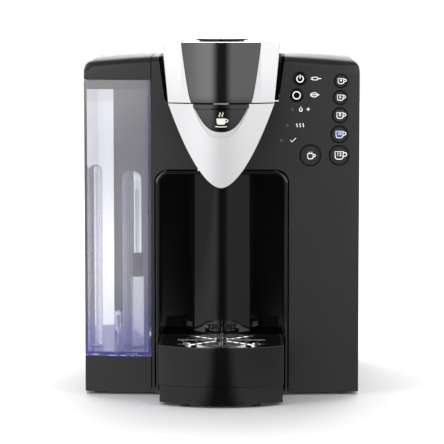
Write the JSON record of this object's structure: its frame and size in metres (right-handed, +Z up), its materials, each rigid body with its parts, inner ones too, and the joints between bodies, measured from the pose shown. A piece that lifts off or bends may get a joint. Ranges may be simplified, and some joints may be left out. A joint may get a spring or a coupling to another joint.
{
  "type": "pod coffee machine",
  "caption": "Countertop single-serve pod brewer with a clear side water tank, a hinged brewing head with a chrome front, a mug bay, a drip tray and front push buttons.",
  "frame": {"origin": "bottom centre of the overall box, on the surface the machine stands on", "axes": "+X to the viewer's right seen from the front, -Y out of the front, +Z up"},
  "size_m": [0.262, 0.316, 0.344],
  "materials": {
    "body_satin": "fine satin moulded plastic, warm black",
    "gloss_black": "polished black plastic",
    "inner_black": "plain black moulding",
    "chrome_trim": "bright satin-chrome plating",
    "steel": "stainless steel",
    "clear_tank": "clear plastic with a faint violet tint",
    "float_grey": "dark grey plastic",
    "rubber": "black rubber",
    "gasket": "silicone rubber",
    "nylon": "natural nylon",
    "motor_metal": "zinc-grey metal can",
    "circuit_board": "green circuit board",
    "hose": "translucent silicone hose"
  },
  "bodies": {
    "base": {"base_plate": "body_satin", "rubber_feet": "rubber", "rear_housing": "body_satin", "rear_cover": "body_satin", "cover_screws": "steel", "front_fascia": "body_satin", "top_cover": "body_satin", "cavity_liner": "gloss_black", "brew_column": "gloss_black", "tray_stand": "gloss_black", "tray_feet": "rubber", "head_collar": "inner_black", "head_housing": "inner_black", "head_shield": "chrome_trim", "release_springs": "steel", "pod_holder": "inner_black", "exit_needle": "steel", "brew_funnel": "inner_black", "lid_hinge_pin": "steel", "tank_dock": "body_satin", "dock_seal": "gasket", "indicator_lenses": "clear_tank", "control_board": "circuit_board", "tact_switches": "steel", "water_pump": "motor_metal", "pump_bracket": "nylon", "boiler": "steel", "boiler_bracket": "nylon", "hoses": "hose", "power_board": "circuit_board", "cord_gland": "body_satin"},
    "lid": {"lid_panel": "gloss_black", "lid_trim_left": "chrome_trim", "lid_trim_right": "chrome_trim", "lid_frame": "inner_black", "lid_cap": "gloss_black", "lid_catch": "steel", "pod_gasket": "gasket", "spin_motor": "motor_metal"},
    "needle": {"needle_gear": "nylon", "brew_needle": "steel"},
    "pinion": {"motor_pinion": "nylon"},
    "release": {"release_button": "gloss_black"},
    "tray": {"drip_tray": "gloss_black"},
    "tray_top": {"tray_cover": "gloss_black"},
    "grate": {"cup_grate": "chrome_trim"},
    "tank": {"tank": "clear_tank", "float_guide": "clear_tank", "outlet_valve": "clear_tank", "valve_spring": "steel"},
    "tank_top": {"tank_lid": "body_satin"},
    "float": {"tank_float": "float_grey"},
    "power_key": {"power_button": "gloss_black"},
    "saver_key": {"saver_button": "gloss_black"},
    "brew_key": {"brew_button": "gloss_black"},
    "cup_key_1": {"cup_button_1": "gloss_black"},
    "cup_key_2": {"cup_button_2": "gloss_black"},
    "cup_key_3": {"cup_button_3": "gloss_black"},
    "cup_key_4": {"cup_button_4": "gloss_black"},
    "cup_key_5": {"cup_button_5": "gloss_black"}
  },
  "joints": [
    {"name": "lid_hinge", "type": "hinge", "parent": "base", "child": "lid", "pos_m": [0, 0.024, 0.318], "axis": [-1, 0, 0], "range_deg": [0, 75]},
    {"name": "pinion_spin", "type": "hinge", "parent": "lid", "child": "pinion", "pos_m": [0, -0.093, 0.298], "axis": [0, 0, 1], "continuous": true},
    {"name": "needle_spin", "type": "hinge", "parent": "lid", "child": "needle", "pos_m": [0, -0.111, 0.298], "axis": [0, 0, 1], "continuous": true},
    {"name": "release_press", "type": "slide", "parent": "base", "child": "release", "axis": [0, 1, 0], "range_m": [0, 0.002], "stiffness_N_per_m": 600, "springref_m": -0.001},
    {"name": "tray_slide", "type": "slide", "parent": "base", "child": "tray", "axis": [0, -1, 0], "range_m": [0, 0.13]},
    {"name": "tray_top_lift", "type": "slide", "parent": "tray", "child": "tray_top", "axis": [0, 0, 1], "range_m": [0, 0.06]},
    {"name": "grate_lift", "type": "slide", "parent": "tray_top", "child": "grate", "axis": [0, 0, 1], "range_m": [0, 0.05]},
    {"name": "tank_lift", "type": "slide", "parent": "base", "child": "tank", "axis": [0, 0, 1], "range_m": [0, 0.3]},
    {"name": "tank_top_lift", "type": "slide", "parent": "tank", "child": "tank_top", "axis": [0, 0, 1], "range_m": [0, 0.06]},
    {"name": "float_rise", "type": "slide", "parent": "tank", "child": "float", "axis": [0, 0, 1], "range_m": [0, 0.06]},
    {"name": "power_press", "type": "slide", "parent": "base", "child": "power_key", "axis": [0, 1, 0], "range_m": [0, 0.0012], "stiffness_N_per_m": 500, "springref_m": -0.0006},
    {"name": "saver_press", "type": "slide", "parent": "base", "child": "saver_key", "axis": [0, 1, 0], "range_m": [0, 0.0012], "stiffness_N_per_m": 500, "springref_m": -0.0006},
    {"name": "brew_press", "type": "slide", "parent": "base", "child": "brew_key", "axis": [0, 1, 0], "range_m": [0, 0.0012], "stiffness_N_per_m": 500, "springref_m": -0.0006},
    {"name": "cup_press_1", "type": "slide", "parent": "base", "child": "cup_key_1", "axis": [0, 1, 0], "range_m": [0, 0.0012], "stiffness_N_per_m": 500, "springref_m": -0.0006},
    {"name": "cup_press_2", "type": "slide", "parent": "base", "child": "cup_key_2", "axis": [0, 1, 0], "range_m": [0, 0.0012], "stiffness_N_per_m": 500, "springref_m": -0.0006},
    {"name": "cup_press_3", "type": "slide", "parent": "base", "child": "cup_key_3", "axis": [0, 1, 0], "range_m": [0, 0.0012], "stiffness_N_per_m": 500, "springref_m": -0.0006},
    {"name": "cup_press_4", "type": "slide", "parent": "base", "child": "cup_key_4", "axis": [0, 1, 0], "range_m": [0, 0.0012], "stiffness_N_per_m": 500, "springref_m": -0.0006},
    {"name": "cup_press_5", "type": "slide", "parent": "base", "child": "cup_key_5", "axis": [0, 1, 0], "range_m": [0, 0.0012], "stiffness_N_per_m": 500, "springref_m": -0.0006}
  ],
  "couplings": [
    {"joint": "needle_spin", "follows": "pinion_spin", "ratio": -0.5}
  ]
}
